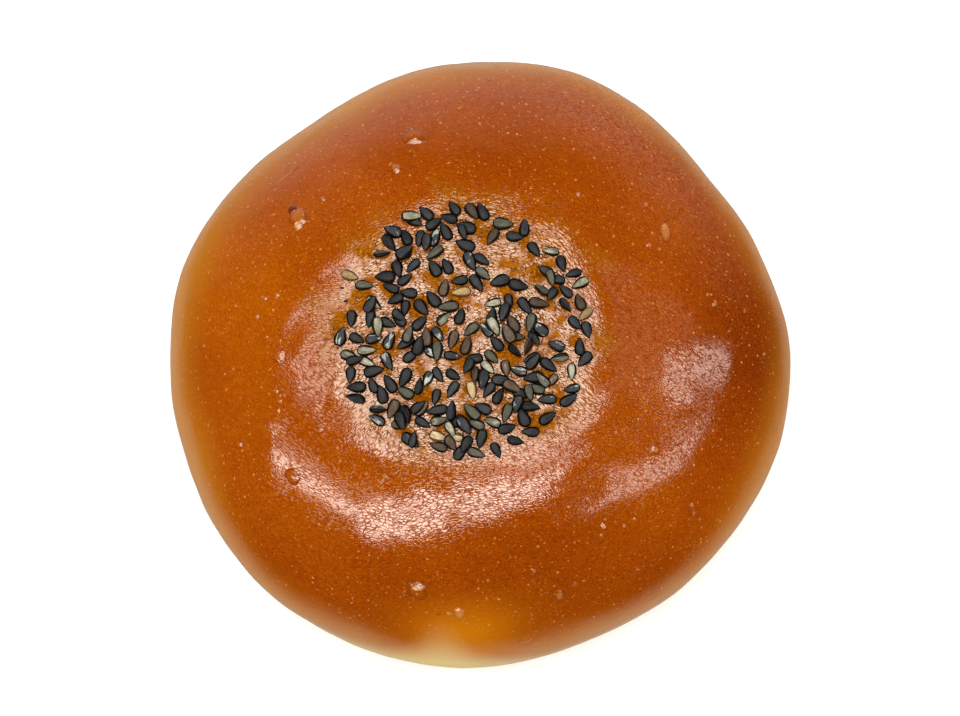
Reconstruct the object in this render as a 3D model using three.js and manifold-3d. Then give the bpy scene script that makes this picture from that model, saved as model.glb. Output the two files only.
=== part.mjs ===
// A red bean bun: a round sweet roll with a flat base, a low waist and a broad glazed dome.
// A round patch of sesame seeds is pressed onto the crown, which is a little flatter there.
// The bread, its blisters and its seeds are fused into one solid, because none comes off whole.
// Millimetres, +Z up, front at -Y. The origin is on the base, in the middle of the bun's box.

import * as THREE from "three";
import { mergeVertices } from "three/addons/utils/BufferGeometryUtils.js";
import Module from "manifold-3d";

const wasm = await Module();
wasm.setup();

// Dough
const BUN_RADIUS = 49.2; // mean radius at the waist
const BUN_HEIGHT = 42; // base to crown
const WAIST_HEIGHT = 12.5; // height of the widest part
const DOME_FULLNESS = 2.25; // 2 is an ellipse, more is a flatter crown with rounder shoulders
const FOOT_FULLNESS = 5; // how squarely the side tucks in under the waist
const FOOT_DIP = 1.4; // how far the foot's curve runs on below the tray that cuts it flat
const DOUGH_X = -0.32; // the dough's middle, which puts the finished box over the origin
const DOUGH_Y = -0.3;

// Uneven rise of the outline: each wave has so many lobes round the bun, one at crestDeg
const OUTLINE_WAVES = [
  { lobes: 2, swell: 0.59, crestDeg: 18 },
  { lobes: 3, swell: 0.41, crestDeg: -29 },
  { lobes: 4, swell: 0.71, crestDeg: -15 },
  { lobes: 5, swell: 0.28, crestDeg: 7 },
  { lobes: 7, swell: 0.22, crestDeg: 6.5 },
  { lobes: 9, swell: 0.12, crestDeg: -15 },
];

// Sesame patch, stamped on with a round end
const PATCH_X = -2.35;
const PATCH_Y = -1.16;
const PATCH_RADIUS = 19.4; // to the middles of the outermost seeds
const PRESS_RADIUS = 23;
const PRESS_DEPTH = 1.2;

// Sesame seeds
const SEED_LENGTH = 2.95;
const SEED_WIDTH = 1.75;
const SEED_THICKNESS = 0.95;
const SEED_SIZE_SPREAD = 0.13; // share by which a seed may be larger or smaller
const SEED_TIP_TAPER = 0.42; // share of the width lost from the middle to the pointed end
const SEED_SINK = 0.3; // share of the thickness below the crust
const SEED_TILT_DEG = 7;
const EDGE_SHARE = 0.12; // share of seeds that lie on an edge
const EDGE_TILT_DEG = 62;
const FIRST_DRAW = 785; // start of the scatter's random draws
const THROWS = 9000; // tries for each layer of seeds
const SUPPORT = 0.8; // how much an upper seed has to lie over a lower one

// The lower layer lies on the crust. The upper one lies across it, raised and more tilted.
// Between is the share of thrown seeds that stay between the clumps.
const SEED_LAYERS = [
  { count: 168, lift: 0, tilt: 1, crowding: 0.84, between: 0.32 },
  { count: 30, lift: 0.5, tilt: 2.4, crowding: 0.95, between: 0 },
];

// Places where the stamp held most seeds, from the patch's middle, and how far each reaches
const CLUMPS = [
  { x: -3, y: -14, reach: 6.5 },
  { x: -10, y: 2, reach: 4.5 },
  { x: 8, y: -9, reach: 5 },
  { x: -7, y: 15.5, reach: 4.5 },
  { x: 16, y: 7, reach: 3.5 },
  { x: 6, y: 0.5, reach: 3 },
  { x: -6, y: -2, reach: 3 },
];

// Places that it left bare
const BARE_SPOTS = [
  { x: 7.4, y: 10.2, radius: 3.4 },
  { x: 2, y: 3.2, radius: 2.1 },
  { x: 14.2, y: 1.2, radius: 2.5 },
  { x: -1, y: 11.2, radius: 2 },
  { x: -17, y: 5.2, radius: 2.4 },
  { x: -6, y: 8, radius: 1.8 },
  { x: 3.4, y: -2.6, radius: 1.6 },
  { x: -6.5, y: -6.2, radius: 1.8 },
  { x: -16, y: 12, radius: 3.2 },
  { x: 11.5, y: 14.5, radius: 2.2 },
];

// Circles along a seed, blunt end first, that stand for its outline: shares of its length and width
const SEED_CIRCLES = [
  { along: -0.17, radius: 0.5 },
  { along: 0.12, radius: 0.42 },
  { along: 0.36, radius: 0.22 },
];

// Blisters that steam raised under the glaze
const BLISTERS = [
  { x: -10.1, y: 30.6, radius: 1.45, rise: 0.45 },
  { x: -28.1, y: 18, radius: 1.1, rise: 0.4 },
  { x: 28.7, y: 15.5, radius: 1.3, rise: 0.18 },
  { x: -9.4, y: -39.7, radius: 1.28, rise: 0.45 },
  { x: -3, y: -42.8, radius: 0.8, rise: 0.4 },
  { x: -12.9, y: 25.1, radius: 0.75, rise: 0.3 },
  { x: -28.3, y: -22.6, radius: 1.1, rise: 0.35 },
  { x: -30.5, y: -4.5, radius: 0.9, rise: 0.3 },
];

// Mesh
const DOUGH_DETAIL = 8; // splits of each edge of the icosahedron
const SEED_SIDES = 6;
const SEED_RINGS = 3;
const BLISTER_SIDES = 7;
const BLISTER_RINGS = 4;
const SLOPE_STEP = 0.05;

// Radius of the waist in a direction from the dough's middle.
function outlineRadius(angle) {
  let radius = BUN_RADIUS;
  for (const { lobes, swell, crestDeg } of OUTLINE_WAVES) {
    radius += swell * Math.cos(lobes * (angle - THREE.MathUtils.degToRad(crestDeg)));
  }
  return radius;
}

// How deep the stamp pressed the crown, fading out smoothly at its edge.
function pressedDepth(x, y) {
  const reach = Math.hypot(x - PATCH_X, y - PATCH_Y) / PRESS_RADIUS;
  return reach < 1 ? PRESS_DEPTH * (1 - reach ** 2) ** 2 : 0;
}

// Height of the glazed upper surface over a point inside the outline.
function domeHeight(x, y) {
  const dx = x - DOUGH_X;
  const dy = y - DOUGH_Y;
  const share = Math.min(1, Math.hypot(dx, dy) / outlineRadius(Math.atan2(dy, dx)));
  const rise = (1 - share ** DOME_FULLNESS) ** (1 / DOME_FULLNESS);
  return WAIST_HEIGHT + (BUN_HEIGHT - WAIST_HEIGHT) * rise - pressedDepth(x, y);
}

// Outward normal of the upper surface.
function domeNormal(x, y) {
  const slopeX = (domeHeight(x + SLOPE_STEP, y) - domeHeight(x - SLOPE_STEP, y)) / (2 * SLOPE_STEP);
  const slopeY = (domeHeight(x, y + SLOPE_STEP) - domeHeight(x, y - SLOPE_STEP)) / (2 * SLOPE_STEP);
  return new THREE.Vector3(-slopeX, -slopeY, 1).normalize();
}

// A geometry's triangles as a solid, with the corners that triangles share merged.
function solidOf(geometry) {
  const bare = geometry.clone();
  bare.deleteAttribute("normal");
  bare.deleteAttribute("uv");
  const merged = mergeVertices(bare);
  return new wasm.Manifold(
    new wasm.Mesh({
      numProp: 3,
      vertProperties: merged.attributes.position.array,
      triVerts: new Uint32Array(merged.index.array),
    }),
  );
}

// The dough: an even ball of triangles drawn out to the bun's outline and dome, cut flat by the tray.
function makeDough() {
  const ball = new THREE.IcosahedronGeometry(1, DOUGH_DETAIL);
  const places = ball.getAttribute("position");
  const place = new THREE.Vector3();
  for (let i = 0; i < places.count; i++) {
    place.fromBufferAttribute(places, i);
    const angle = Math.atan2(place.y, place.x);
    const level = Math.hypot(place.x, place.y);
    const fullness = place.z >= 0 ? DOME_FULLNESS : FOOT_FULLNESS;
    const radius = outlineRadius(angle) * level ** (2 / fullness);
    const x = DOUGH_X + radius * Math.cos(angle);
    const y = DOUGH_Y + radius * Math.sin(angle);
    const drop = (WAIST_HEIGHT + FOOT_DIP) * Math.abs(place.z) ** (2 / FOOT_FULLNESS);
    places.setXYZ(i, x, y, place.z >= 0 ? domeHeight(x, y) : WAIST_HEIGHT - drop);
  }
  const tray = new THREE.BoxGeometry(4 * BUN_RADIUS, 4 * BUN_RADIUS, BUN_HEIGHT);
  tray.translate(0, 0, -BUN_HEIGHT / 2);
  return solidOf(ball).subtract(solidOf(tray));
}

// Even draws from 0 to 1, the same ones each time.
function makeDraws(start) {
  let state = start;
  return () => {
    state = (Math.imul(state, 1664525) + 1013904223) >>> 0;
    return state / 2 ** 32;
  };
}

// The circles that stand for a seed's outline, as seen from above.
function seedCircles({ x, y, heading, size }) {
  return SEED_CIRCLES.map(({ along, radius }) => ({
    x: x + along * SEED_LENGTH * size * Math.cos(heading),
    y: y + along * SEED_LENGTH * size * Math.sin(heading),
    radius: radius * SEED_WIDTH * size,
  }));
}

// True where two seeds' circles come closer than the given share of their reach.
function seedsMeet(a, b, share) {
  return a.circles.some((p) =>
    b.circles.some((q) => Math.hypot(p.x - q.x, p.y - q.y) < share * (p.radius + q.radius)),
  );
}

// How much of the clumps' seeds the stamp held at a place.
function heldSeeds(x, y) {
  return CLUMPS.reduce((sum, c) => sum + Math.exp(-((x - c.x) ** 2 + (y - c.y) ** 2) / c.reach ** 2), 0);
}

// Seeds thrown at the patch one by one. A seed stays where the stamp holds seeds and there is room.
function scatterSeeds() {
  const draw = makeDraws(FIRST_DRAW);
  const seeds = [];
  for (const layer of SEED_LAYERS) {
    const below = [...seeds];
    const lying = [];
    const tilt = THREE.MathUtils.degToRad(SEED_TILT_DEG * layer.tilt);
    for (let i = 0; i < THROWS && lying.length < layer.count; i++) {
      const reach = PATCH_RADIUS * Math.sqrt(draw());
      const bearing = 2 * Math.PI * draw();
      const luck = draw();
      const seed = {
        x: reach * Math.cos(bearing),
        y: reach * Math.sin(bearing),
        heading: 2 * Math.PI * draw(),
        size: 1 + SEED_SIZE_SPREAD * (2 * draw() - 1),
        pitch: tilt * (2 * draw() - 1),
        lift: layer.lift,
      };
      const onEdge = draw() < EDGE_SHARE;
      seed.roll = (onEdge ? THREE.MathUtils.degToRad(EDGE_TILT_DEG) : tilt) * (2 * draw() - 1);
      if (luck > layer.between + heldSeeds(seed.x, seed.y)) continue;
      if (BARE_SPOTS.some((spot) => Math.hypot(seed.x - spot.x, seed.y - spot.y) < spot.radius)) continue;
      seed.circles = seedCircles(seed);
      if (lying.some((other) => seedsMeet(seed, other, layer.crowding))) continue;
      if (below.length && !below.some((other) => seedsMeet(seed, other, SUPPORT))) continue;
      lying.push(seed);
    }
    seeds.push(...lying);
  }
  return seeds;
}

// One seed: a flat drop, pointed at the end that its heading gives, lying on the crust.
function makeSeed({ x, y, heading, size, pitch, roll, lift }) {
  const drop = new THREE.SphereGeometry(0.5, SEED_SIDES, SEED_RINGS);
  const places = drop.getAttribute("position");
  const place = new THREE.Vector3();
  for (let i = 0; i < places.count; i++) {
    place.fromBufferAttribute(places, i);
    const taper = 1 - SEED_TIP_TAPER * 2 * place.y;
    places.setXYZ(i, place.x * taper, place.y, place.z * taper);
  }
  drop.scale(SEED_WIDTH * size, SEED_LENGTH * size, SEED_THICKNESS * size);
  drop.rotateX(pitch);
  drop.rotateY(roll);

  const up = domeNormal(PATCH_X + x, PATCH_Y + y);
  const tip = new THREE.Vector3(Math.cos(heading), Math.sin(heading), 0);
  tip.addScaledVector(up, -tip.dot(up)).normalize();
  const side = new THREE.Vector3().crossVectors(tip, up);
  const middle = new THREE.Vector3(PATCH_X + x, PATCH_Y + y, domeHeight(PATCH_X + x, PATCH_Y + y));
  const half = 0.5 * Math.hypot(SEED_WIDTH * Math.sin(roll), SEED_THICKNESS * Math.cos(roll));
  middle.addScaledVector(up, size * (half - SEED_SINK * SEED_THICKNESS) + lift);
  drop.applyMatrix4(new THREE.Matrix4().makeBasis(side, tip, up).setPosition(middle));
  return solidOf(drop);
}

// One blister: a low cap, the upper half of a flat ball set in the crust.
function makeBlister({ x, y, radius, rise }) {
  const cap = new THREE.SphereGeometry(1, BLISTER_SIDES, BLISTER_RINGS);
  cap.rotateX(Math.PI / 2);
  cap.scale(radius, radius, rise);
  const turn = new THREE.Quaternion().setFromUnitVectors(new THREE.Vector3(0, 0, 1), domeNormal(x, y));
  cap.applyQuaternion(turn);
  cap.translate(x, y, domeHeight(x, y));
  return solidOf(cap);
}

// The largest body of a solid, without loose scraps or sealed hollows.
function mainBody(solid) {
  return solid.decompose().reduce((a, b) => (b.volume() > a.volume() ? b : a));
}

// A solid's triangles as a geometry with flat shading.
function geometryOf(solid) {
  const { vertProperties, triVerts } = solid.getMesh();
  const geometry = new THREE.BufferGeometry();
  geometry.setAttribute("position", new THREE.BufferAttribute(vertProperties, 3));
  geometry.setIndex(new THREE.BufferAttribute(triVerts, 1));
  const flat = geometry.toNonIndexed();
  flat.computeVertexNormals();
  return flat;
}

const raised = [...BLISTERS.map(makeBlister), ...scatterSeeds().map(makeSeed)];
const bread = mainBody(wasm.Manifold.union([makeDough(), ...raised]));

const crust = new THREE.MeshStandardMaterial({ color: 0xb05203, roughness: 0.35, metalness: 0 });
const bun = new THREE.Mesh(geometryOf(bread), crust);
bun.name = "bun";

const part = new THREE.Group();
part.add(bun);

export default part;
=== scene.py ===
import bpy
import math
import numpy as np
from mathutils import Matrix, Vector
from mathutils.bvhtree import BVHTree


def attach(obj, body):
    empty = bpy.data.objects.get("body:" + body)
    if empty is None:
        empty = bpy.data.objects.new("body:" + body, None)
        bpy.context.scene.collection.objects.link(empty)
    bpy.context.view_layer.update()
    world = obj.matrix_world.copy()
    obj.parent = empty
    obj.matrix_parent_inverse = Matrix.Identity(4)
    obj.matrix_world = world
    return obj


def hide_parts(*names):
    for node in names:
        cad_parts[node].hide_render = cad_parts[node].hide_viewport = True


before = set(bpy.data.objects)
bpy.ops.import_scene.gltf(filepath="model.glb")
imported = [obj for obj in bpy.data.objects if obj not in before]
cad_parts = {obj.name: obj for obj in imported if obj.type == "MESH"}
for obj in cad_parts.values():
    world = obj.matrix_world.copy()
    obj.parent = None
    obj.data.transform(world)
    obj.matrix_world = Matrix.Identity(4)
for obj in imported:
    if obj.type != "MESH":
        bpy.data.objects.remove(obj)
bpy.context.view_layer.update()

# The bread: a round of sweet dough, baked on a flat tray, so the base is flat and the dome is full.
# It rose unevenly, its side tucks in under a low waist, and a round stamp pressed the crown a little.
# An egg glaze browned on it, and dried to a skin of fine wrinkles.
MM = 0.001  # lengths below are in millimetres and become metres when a mesh is made
BUN_RADIUS = 49.2
BUN_HEIGHT = 42.0
WAIST_HEIGHT = 12.5
DOME_FULLNESS = 2.25
FOOT_FULLNESS = 5.0
FOOT_DIP = 1.4
DOUGH_MIDDLE = np.array([-0.32, -0.3])
OUTLINE_WAVES = [  # lobes, swell, and where a crest is, in degrees
    (2, 0.59, 18),
    (3, 0.41, -29),
    (4, 0.71, -15),
    (5, 0.28, 7),
    (7, 0.22, 6.5),
    (9, 0.12, -15),
]
PATCH_MIDDLE = np.array([-2.35, -1.16])
PRESS_RADIUS = 23.0
PRESS_DEPTH = 1.2


def outline_radius(angle):
    """Radius of the waist in a direction from the dough's middle."""
    radius = BUN_RADIUS
    for lobes, swell, crest in OUTLINE_WAVES:
        radius = radius + swell * np.cos(lobes * (angle - math.radians(crest)))
    return radius


def pressed_depth(x, y):
    """How deep the stamp pressed the crown."""
    reach = np.hypot(x - PATCH_MIDDLE[0], y - PATCH_MIDDLE[1]) / PRESS_RADIUS
    return PRESS_DEPTH * (1 - np.minimum(reach, 1) ** 2) ** 2


PROFILE_POINTS = 4000
FOOT_COARSENESS = 2.5  # how much longer the mesh's steps are on the foot than on the dome


def bread_profile():
    """Even steps from crown to base edge, as shares of the outline radius and as heights."""
    turn = np.linspace(0, math.pi / 2, PROFILE_POINTS)
    dome_share = np.sin(turn) ** (2 / DOME_FULLNESS)
    dome = WAIST_HEIGHT + (BUN_HEIGHT - WAIST_HEIGHT) * np.cos(turn) ** (2 / DOME_FULLNESS)
    foot_share = np.cos(turn) ** (2 / FOOT_FULLNESS)
    foot = WAIST_HEIGHT - (WAIST_HEIGHT + FOOT_DIP) * np.sin(turn) ** (2 / FOOT_FULLNESS)
    on_tray = foot > 0
    share = np.concatenate([dome_share, foot_share[on_tray][1:]])
    height = np.concatenate([dome, foot[on_tray][1:]])
    step = np.hypot(np.diff(share) * BUN_RADIUS, np.diff(height))
    step[PROFILE_POINTS - 1 :] /= FOOT_COARSENESS
    length = np.concatenate([[0], np.cumsum(step)])
    return length / length[-1], share, height


GRID_STEPS = 300  # cells along each side of the square that is drawn out over the dome and foot
BASE_RINGS = (0.985, 0.93, 0.6, 0.25)  # of the flat base, as shares of its edge


def grid_on_disc(steps):
    """Corners of a square grid drawn out to a round one, as reach from the middle and angle."""
    side = np.linspace(-1, 1, steps + 1)
    across, along = (a.ravel() for a in np.meshgrid(side, side, indexing="ij"))
    wide = np.abs(across) >= np.abs(along)
    lead = np.where(wide, across, along)
    other = np.where(wide, along, across)
    turn = math.pi / 4 * np.divide(other, lead, out=np.zeros_like(lead), where=lead != 0)
    angle = np.where(wide, turn, math.pi / 2 - turn)
    return np.abs(lead), np.arctan2(lead * np.sin(angle), lead * np.cos(angle))


def grid_faces(steps):
    """Quads of that grid, and its rim's corners in order round the bun."""
    index = np.arange((steps + 1) ** 2).reshape(steps + 1, steps + 1)
    quads = np.stack([index[:-1, :-1], index[1:, :-1], index[1:, 1:], index[:-1, 1:]], -1).reshape(-1, 4)
    rim = np.concatenate([index[:-1, 0], index[-1, :-1], index[:0:-1, -1], index[0, :0:-1]])
    return quads, rim


def plane_waves(points, count, shortest, longest, draw):
    """A smooth uneven field over points, mostly from -1 to 1, made of waves in all directions."""
    field = np.zeros(len(points))
    for _ in range(count):
        heading = draw.normal(size=3)
        heading /= np.linalg.norm(heading)
        wave = 2 * math.pi / draw.uniform(shortest, longest)
        field += np.sin(points @ heading * wave + draw.uniform(0, 2 * math.pi))
    return field / math.sqrt(count)


def smooth_step(low, high, value):
    """0 up to low, 1 from high on, and smooth between. High may be the smaller."""
    share = np.clip((value - low) / (high - low), 0, 1)
    return share * share * (3 - 2 * share)


def mesh_object(name, points, faces):
    """A smooth-shaded mesh object from points in millimetres."""
    mesh = bpy.data.meshes.new(name)
    mesh.from_pydata((points * MM).tolist(), [], faces)
    mesh.polygons.foreach_set("use_smooth", np.ones(len(mesh.polygons), bool))
    mesh.update()
    made = bpy.data.objects.new(name, mesh)
    bpy.context.scene.collection.objects.link(made)
    return made


SWELL = 0.17  # broad unevenness of the risen dough
SWELL_WAVES = (24, 14, 34)  # how many waves it is made of, the shortest and the longest
RIPPLE = 0.03  # finer unevenness of its skin
PATCH_RIPPLE = 0.11  # and what the stamp added under the seeds
RIPPLE_WAVES = (40, 4, 9)
UNEVEN_HEIGHTS = (0.5, 6.0)  # heights between which both grow, over the base that the tray kept flat


def make_bread(draw):
    """The bread as one closed mesh, and its points in millimetres."""
    reach, angle = grid_on_disc(GRID_STEPS)
    length, share, height = bread_profile()
    radius = np.interp(reach, length, share) * outline_radius(angle)
    x = DOUGH_MIDDLE[0] + radius * np.cos(angle)
    y = DOUGH_MIDDLE[1] + radius * np.sin(angle)
    skin = np.stack([x, y, np.interp(reach, length, height) - pressed_depth(x, y)], -1)
    quads, rim = grid_faces(GRID_STEPS)

    middle = np.array([*DOUGH_MIDDLE, 0])
    points = [skin]
    faces = quads.tolist()
    last = rim
    for ring in BASE_RINGS:
        start = sum(len(p) for p in points)
        points.append(middle + (skin[rim] - middle) * [ring, ring, 0])
        now = np.arange(start, start + len(rim))
        faces += np.stack([last, np.roll(last, -1), np.roll(now, -1), now], -1)[:, ::-1].tolist()
        last = now
    hub = sum(len(p) for p in points)
    points.append(middle[None])
    faces += np.stack([last, np.roll(last, -1), np.full(len(rim), hub)], -1)[:, ::-1].tolist()
    points = np.concatenate(points)

    made = mesh_object("bread", points, faces)
    normals = np.empty(3 * len(points))
    made.data.vertices.foreach_get("normal", normals)
    relief = SWELL * plane_waves(points, *SWELL_WAVES, draw)
    ripple = RIPPLE + PATCH_RIPPLE * pressed_depth(points[:, 0], points[:, 1]) / PRESS_DEPTH
    relief += ripple * plane_waves(points, *RIPPLE_WAVES, draw)
    relief *= smooth_step(*UNEVEN_HEIGHTS, points[:, 2])
    points += relief[:, None] * normals.reshape(-1, 3)
    made.data.vertices.foreach_set("co", (points * MM).ravel())
    made.data.update()
    return made, points


FRONT = (0.0, -30.0)  # places to the back between which the front's own colours grow
CREAM = (-6.0, 7.8)  # the front's palest part, its middle to the right and its width
CREAM_FLARE = 10.0  # how much wider it is at the base, and the heights between which it widens
FLARE_HEIGHTS = (24.0, 4.0)
YOLK = (-2.4, 8.4)  # the golden part above it, its middle and its width
YOLK_HEIGHTS = (33.0, 25.5)
RIM_HEIGHTS = (29.5, 18.0)  # heights between which the brown fades to the golden rim
RIM_SIDE = math.radians(120)  # the bearing where the rim's gold reaches highest, and how much higher
RIM_RISE = 4.6
RIM_DIP = 4.0  # how much lower it stays at the front, and the places to the back where it dips
DIP_PLACES = (-15.0, -38.0)
PALE_HEIGHTS = (14.0, 4.0)  # heights between which the rim fades to pale dough
CREAM_RISE = (14.8, 10.2)  # and how much higher they are in the front's palest part
PALE_DRIFT = 0.4
PALE_WAVES = (30, 8, 30)
FOOT_CREAM = 0.8  # how pale the foot is all round
FOOT_HEIGHTS = (18.0, 3.0)
BROWNED = 0.59  # how brown the middle of the dome is, and what its other parts add, partly deeper browning and partly painted shade
RIGHT_BROWNING_AND_SHADE = 0.26
RIGHT_PLACES = (24.0, 43.0)  # places to the right between which it darkens more
RIGHT_ENDS = [(34.0, -6.0), (-24.0, -2.0)]  # and to the back, between which that fades at both ends
FRONT_BROWNING_AND_SHADE = 0.085
FRONT_PLACES = (-24.0, -44.0)
BACK_BROWNING_AND_SHADE = 0.09
BACK_PLACES = (10.0, 40.0)
BROWNING_DRIFT = 0.03
BROWNING_WAVES = (30, 10, 40)
STAMPED_REACH = (24.5, 17.5)  # where the stamp broke up the glaze, from the patch's middle
STAMPED_DRIFT = 1.7
STAMPED_WAVES = (30, 5, 14)
SMOOTH_WRINKLES = 0.35  # how wrinkled the left and back are
ROUGH_WRINKLES = 0.75  # and the right, the front and round the patch
ROUGH_RIGHT = (4.0, 22.0)
ROUGH_FRONT = (-12.0, -24.0)
ROUGH_REACH = (34.0, 26.0)
WRINKLED_HEIGHTS = (18.0, 28.0)  # heights between which the glaze wrinkles more and more
THIN_GLAZE = (3.0, 10.0)  # heights between which the brushed glaze begins
THICK_GLAZE = (18.0, 27.0)  # and between which it grows thick
THIN_SHARE = 0.5
DRY_CREAM = 0.8  # how much of the glaze the palest dough missed


def paint(mesh, name, values):
    """Stores one number for each of a mesh's points, for its material to read."""
    mesh.attributes.new(name, "FLOAT", "POINT").data.foreach_set("value", values.astype(np.float32))


def hump(value, middle, width):
    """1 at the middle, fading to both sides."""
    return np.exp(-(((value - middle) / width) ** 2))


def paint_crust(mesh, points, draw):
    """Paints on how brown, pale, glazed and wrinkled the bread is, and how much darker it is to the right,
    front and back, partly as painted shade.
    """
    x, y, height = points.T
    front = smooth_step(*FRONT, y)
    cream = front * hump(x, CREAM[0], CREAM[1] + CREAM_FLARE * smooth_step(*FLARE_HEIGHTS, height))
    yolk = front * hump(x, *YOLK) * smooth_step(*YOLK_HEIGHTS, height)

    drift = PALE_DRIFT * plane_waves(points, *PALE_WAVES, draw)
    highest = (0.5 + 0.5 * np.cos(np.arctan2(y, x) - RIM_SIDE)) ** 2
    rim_line = RIM_RISE * highest - RIM_DIP * smooth_step(*DIP_PLACES, y) + drift
    rim = smooth_step(*RIM_HEIGHTS, height - rim_line)
    starts, ends = (low + rise * cream for low, rise in zip(PALE_HEIGHTS, CREAM_RISE))
    pale = smooth_step(starts, ends, height - drift)
    cream = np.maximum(cream, FOOT_CREAM * smooth_step(*FOOT_HEIGHTS, height))

    right = smooth_step(*RIGHT_PLACES, x)
    for end in RIGHT_ENDS:
        right = right * smooth_step(*end, y)
    # darker to the right, the front and the back: partly deeper browning, partly painted shade
    browning_and_shade = BROWNED + RIGHT_BROWNING_AND_SHADE * right
    browning_and_shade += FRONT_BROWNING_AND_SHADE * smooth_step(*FRONT_PLACES, y) + BACK_BROWNING_AND_SHADE * smooth_step(*BACK_PLACES, y)
    browning_and_shade += BROWNING_DRIFT * plane_waves(points, *BROWNING_WAVES, draw)

    reach = np.hypot(x - PATCH_MIDDLE[0], y - PATCH_MIDDLE[1])
    stamped = smooth_step(*STAMPED_REACH, reach + STAMPED_DRIFT * plane_waves(points, *STAMPED_WAVES, draw))
    rough = np.maximum(smooth_step(*ROUGH_RIGHT, x), smooth_step(*ROUGH_FRONT, y))
    rough = np.maximum(rough, smooth_step(*ROUGH_REACH, reach))
    wrinkled = SMOOTH_WRINKLES + (ROUGH_WRINKLES - SMOOTH_WRINKLES) * rough
    wrinkled = np.maximum(wrinkled * smooth_step(*WRINKLED_HEIGHTS, height), stamped)
    glazed = THIN_SHARE * smooth_step(*THIN_GLAZE, height)
    glazed += (1 - THIN_SHARE) * smooth_step(*THICK_GLAZE, height)
    glazed *= 1 - DRY_CREAM * cream * pale

    paint(mesh, "browning_and_shade", browning_and_shade)
    paint(mesh, "yolk", yolk)
    paint(mesh, "rim", rim)
    paint(mesh, "pale", pale)
    paint(mesh, "cream", cream)
    paint(mesh, "glazed", glazed)
    paint(mesh, "wrinkled", wrinkled)
    paint(mesh, "stamped", stamped)
    paint(mesh, "blistered", np.zeros(len(points)))


def add_node(tree, kind, inputs=None, **settings):
    """A shader node with its settings made and its inputs set to values or linked to sockets."""
    made = tree.nodes.new(kind)
    for name, value in settings.items():
        setattr(made, name, value)
    for name, value in (inputs or {}).items():
        if isinstance(value, bpy.types.NodeSocket):
            tree.links.new(value, made.inputs[name])
        else:
            made.inputs[name].default_value = value
    return made


def sum_of(tree, operation, *values, **settings):
    """The result of one sum with numbers or sockets."""
    inputs = dict(enumerate(values))
    return add_node(tree, "ShaderNodeMath", inputs, operation=operation, **settings).outputs[0]


def vector_sum(tree, operation, *values):
    """The result of one sum with vectors."""
    inputs = dict(enumerate(values))
    return add_node(tree, "ShaderNodeVectorMath", inputs, operation=operation).outputs[0]


def scaled(tree, vector, scale):
    """A vector or colour made larger or smaller."""
    return add_node(tree, "ShaderNodeVectorMath", {0: vector, "Scale": scale}, operation="SCALE").outputs[0]


def mapped(tree, value, start, end, low=0.0, high=1.0, **settings):
    """Where a value is between start and end, as a number from low to high."""
    inputs = {"Value": value, "From Min": start, "From Max": end, "To Min": low, "To Max": high}
    return add_node(tree, "ShaderNodeMapRange", inputs, **settings).outputs[0]


def noise(tree, place, spacing, detail, roughness=0.5, distortion=0.0):
    """Outputs of an uneven noise over a surface: Fac, about 0.5, and Color, three of it."""
    inputs = {"Vector": place, "Scale": 1 / spacing, "Detail": detail}
    inputs |= {"Roughness": roughness, "Distortion": distortion}
    return add_node(tree, "ShaderNodeTexNoise", inputs).outputs


def mixed(tree, share, first, second):
    """A colour mixed from two."""
    inputs = {"Factor": share, 6: first, 7: second}
    return add_node(tree, "ShaderNodeMix", inputs, data_type="RGBA").outputs[2]


def read_paint(tree, *names):
    """What was painted on a mesh's points under each name."""
    return [add_node(tree, "ShaderNodeAttribute", attribute_name=name).outputs["Fac"] for name in names]


def new_material(name):
    """An empty node material with its Principled BSDF."""
    material = bpy.data.materials.new(name)
    material.use_nodes = True
    return material, material.node_tree, material.node_tree.nodes["Principled BSDF"]


WRINKLE_SPACING = 0.39
WRINKLE_STRETCH = 2.6
WRINKLE_SWEEP = (-17.0, 15.0)  # the wrinkles turn from rising to falling between these places to the right
WRINKLE_SLOPES = (0.5, -0.55)
WRINKLE_DRIFTS = [  # spacing and detail of what draws them out of line, and how far it does
    (16.0, 1.0, 7.0),
    (0.45, 0.0, 0.22),
]


def along_wrinkles(tree, place):
    """Places measured along and across the wrinkles, in wrinkles, where they sweep over the bun."""
    drawn = place
    for spacing, detail, far in WRINKLE_DRIFTS:
        drift = noise(tree, place, spacing, detail)["Color"]
        drawn = vector_sum(tree, "MULTIPLY_ADD", drift, (far,) * 3, drawn)
    drawn = add_node(tree, "ShaderNodeSeparateXYZ", {0: drawn}).outputs
    start, end = WRINKLE_SWEEP
    first, last = WRINKLE_SLOPES
    bend = (last - first) / (end - start) / 2
    swept = mapped(tree, drawn["X"], start, end, start, end)
    slope = sum_of(tree, "MULTIPLY_ADD", swept, bend, first - 2 * bend * start)
    lift = sum_of(tree, "MULTIPLY", slope, swept)
    beyond = sum_of(tree, "SUBTRACT", drawn["X"], swept)
    lift = sum_of(tree, "MULTIPLY_ADD", beyond, last, lift)
    level = sum_of(tree, "SUBTRACT", drawn["Y"], lift)
    turned = add_node(tree, "ShaderNodeCombineXYZ", {0: drawn["X"], 1: level, 2: drawn["Z"]}).outputs[0]
    along = 1 / (WRINKLE_SPACING * WRINKLE_STRETCH)
    cross = 1 / WRINKLE_SPACING
    return vector_sum(tree, "MULTIPLY", turned, (along, cross, cross))


CREASE_SHARE = 0.22  # of a wrinkle's width
CREASE_PATCHES = 0.8  # spacing of the places where creases come and go
CREASE_FADE = (0.34, 0.56, 0.4)  # the noise between which they do, and how strong the weakest are
SPOT_CORE = 0.4  # share of a spot's radius that is at full strength


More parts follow.
